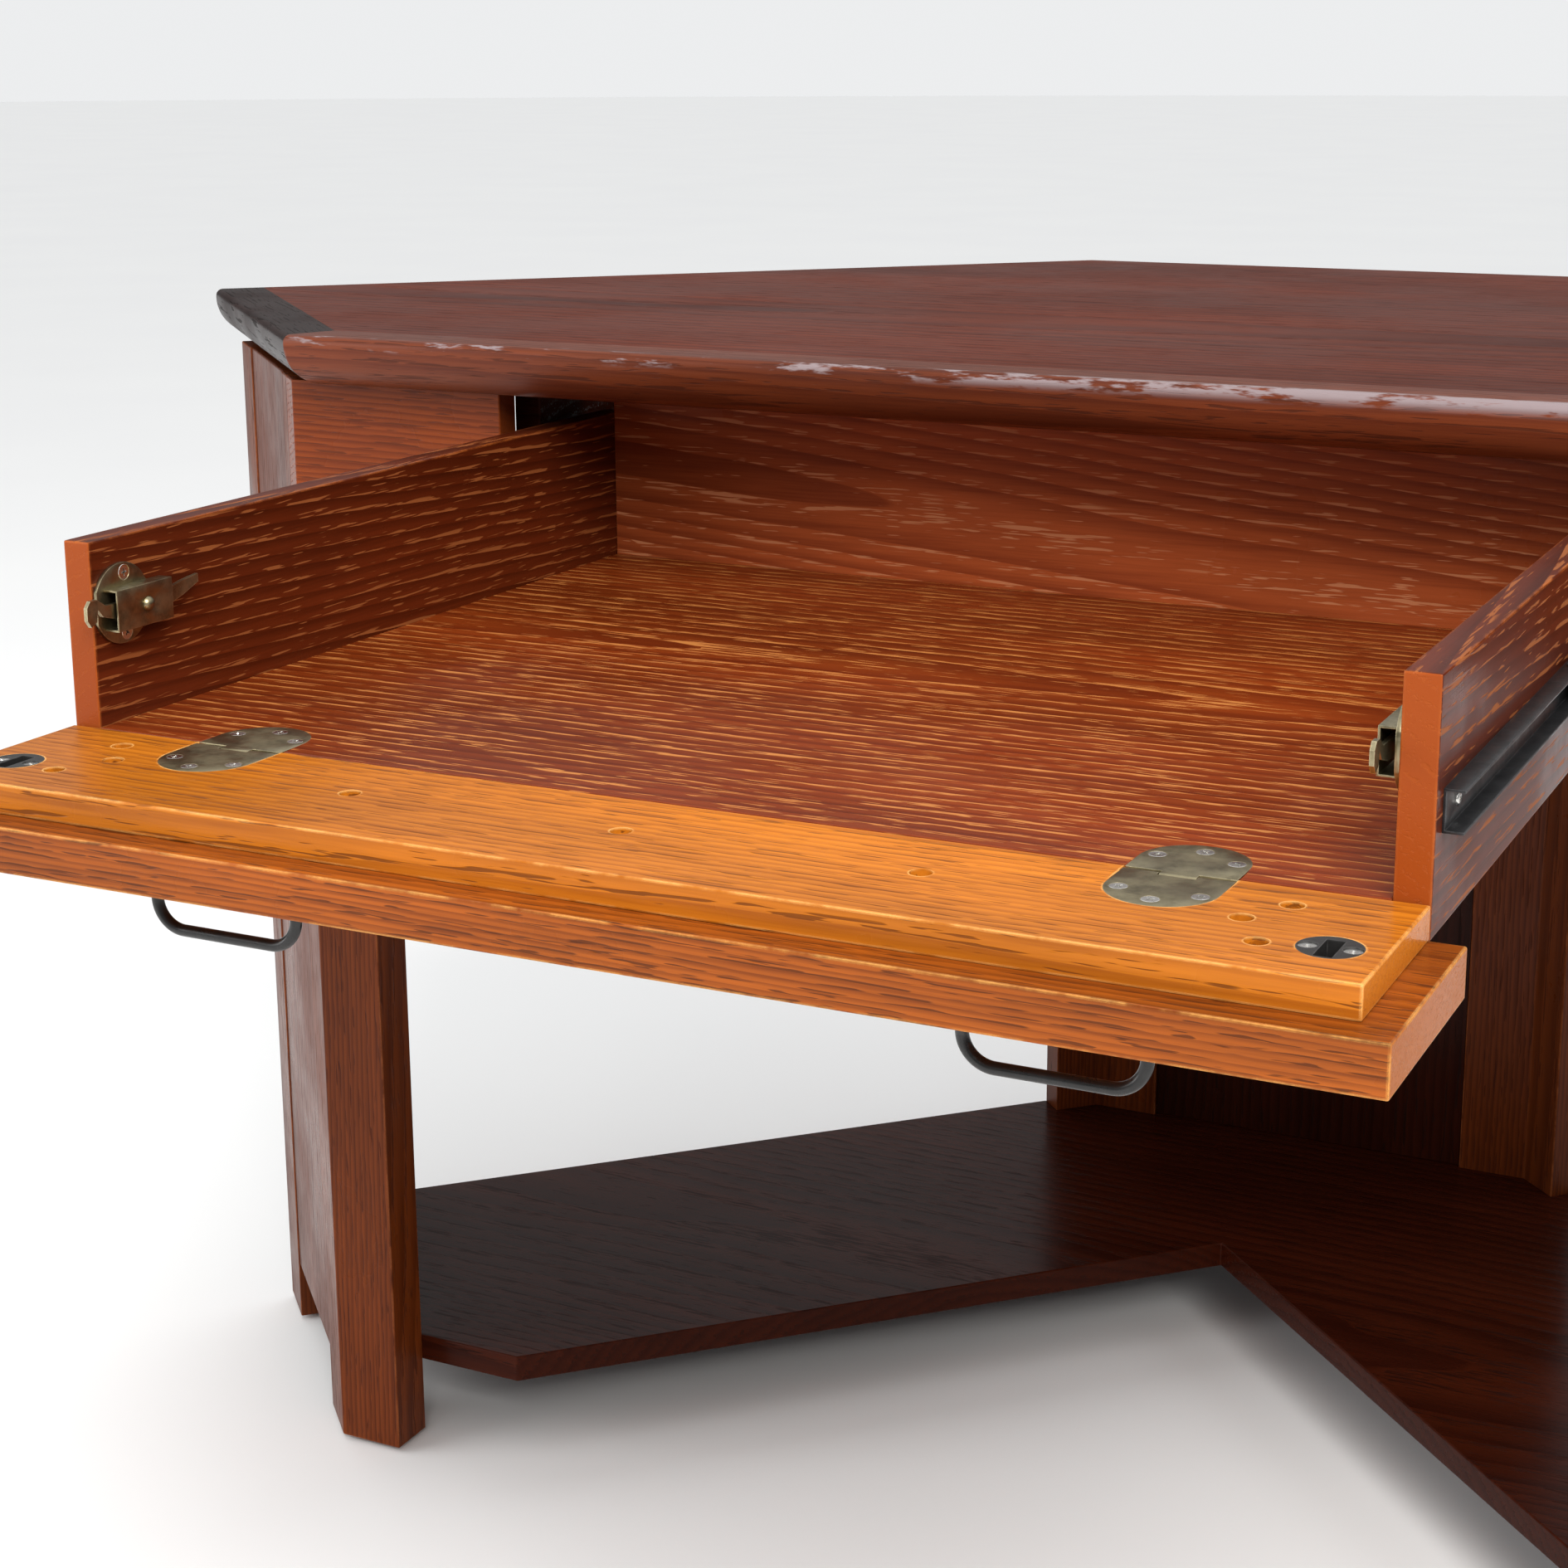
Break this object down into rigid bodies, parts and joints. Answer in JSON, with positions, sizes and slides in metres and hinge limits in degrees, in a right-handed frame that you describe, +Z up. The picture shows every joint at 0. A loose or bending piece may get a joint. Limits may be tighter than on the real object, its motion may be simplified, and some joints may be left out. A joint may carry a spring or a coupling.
{
  "type": "corner computer desk with pull-out keyboard drawer",
  "caption": "Free-standing wooden corner desk with a hexagonal top, a notched lower shelf and a slide-out keyboard drawer whose front folds down flat.",
  "frame": {"origin": "on the floor, at the middle of the plan outline with the drawer pulled out and its front folded down", "axes": "+Z up, +X across the front to the right, +Y towards the corner of the room"},
  "size_m": [1.4124, 1.207, 0.762],
  "materials": {
    "top_board": "satin dark red-brown stain",
    "edge_moulding": "dark stained, worn along its arris",
    "stand_wood": "satin warm brown",
    "apron_wood": "satin orange-brown",
    "shelf_wood": "glossy very dark brown",
    "drawer_wood": "satin red-brown with open grain",
    "flap_wood": "satin golden oak",
    "front_wood": "satin brown oak",
    "slide_steel": "satin black",
    "aged_brass": "antique, dull with bright rims",
    "pull_wire": "satin black",
    "strike_plastic": "matt black",
    "screw_steel": "bright zinc",
    "glide_plastic": "matt brown"
  },
  "bodies": {
    "desk": {"top_panel": "top_board", "edge_front": "edge_moulding", "edge_left": "edge_moulding", "edge_right": "edge_moulding", "front_leg_left": "stand_wood", "front_leg_right": "stand_wood", "apron_left": "apron_wood", "apron_right": "apron_wood", "end_panel_left": "stand_wood", "end_panel_right": "stand_wood", "side_leg_left": "stand_wood", "side_leg_right": "stand_wood", "rear_leg_left": "stand_wood", "rear_leg_right": "stand_wood", "slide_hanger_left": "shelf_wood", "slide_hanger_right": "shelf_wood", "slide_hanger_rail_left": "slide_steel", "slide_hanger_rail_right": "slide_steel", "foot_glides": "glide_plastic", "lower_shelf": "shelf_wood", "back_panel": "shelf_wood", "slide_screws_hanger": "screw_steel"},
    "drawer": {"drawer_bottom": "drawer_wood", "drawer_back": "drawer_wood", "drawer_side_left": "drawer_wood", "drawer_side_right": "drawer_wood", "slide_drawer_rail_left": "slide_steel", "slide_drawer_rail_right": "slide_steel", "hinge_drawer_leaf_left": "aged_brass", "hinge_drawer_leaf_right": "aged_brass", "catch_plate_left": "aged_brass", "catch_plate_right": "aged_brass", "catch_case_left": "aged_brass", "catch_case_right": "aged_brass", "slide_screws_drawer": "screw_steel", "hinge_pins": "aged_brass", "hinge_screws_drawer": "screw_steel", "catch_rivets": "aged_brass", "catch_screws": "screw_steel"},
    "slide_middle_left": {"slide_middle_rail_left": "slide_steel"},
    "slide_middle_right": {"slide_middle_rail_right": "slide_steel"},
    "flap": {"flap_inner_panel": "flap_wood", "flap_front_panel": "front_wood", "front_screws": "screw_steel", "hinge_screws_flap": "screw_steel", "strike_screws": "screw_steel", "pull_screws": "screw_steel", "hinge_flap_leaf_left": "aged_brass", "hinge_flap_leaf_right": "aged_brass", "strike_left": "strike_plastic", "strike_right": "strike_plastic", "pull_left": "pull_wire", "pull_right": "pull_wire"},
    "catch_lever_left": {"catch_lever_left": "aged_brass"},
    "catch_lever_right": {"catch_lever_right": "aged_brass"}
  },
  "joints": [
    {"name": "drawer_slide", "type": "slide", "parent": "desk", "child": "drawer", "axis": [0, 1, 0], "range_m": [0, 0.446]},
    {"name": "slide_middle_left_run", "type": "slide", "parent": "desk", "child": "slide_middle_left", "axis": [0, 1, 0], "range_m": [0, 0.223]},
    {"name": "slide_middle_right_run", "type": "slide", "parent": "desk", "child": "slide_middle_right", "axis": [0, 1, 0], "range_m": [0, 0.223]},
    {"name": "front_fold", "type": "hinge", "parent": "drawer", "child": "flap", "pos_m": [0, -0.49447, 0.618], "axis": [-1, 0, 0], "range_deg": [0, 90]},
    {"name": "catch_left_turn", "type": "hinge", "parent": "drawer", "child": "catch_lever_left", "pos_m": [-0.305, -0.46147, 0.676], "axis": [-1, 0, 0], "range_deg": [0, 5], "stiffness_Nm_per_rad": 0.5, "springref_deg": -5.73},
    {"name": "catch_right_turn", "type": "hinge", "parent": "drawer", "child": "catch_lever_right", "pos_m": [0.305, -0.46147, 0.676], "axis": [-1, 0, 0], "range_deg": [0, 5], "stiffness_Nm_per_rad": 0.5, "springref_deg": -5.73}
  ],
  "couplings": [
    {"joint": "slide_middle_left_run", "follows": "drawer_slide", "ratio": 0.5},
    {"joint": "slide_middle_right_run", "follows": "drawer_slide", "ratio": 0.5}
  ]
}
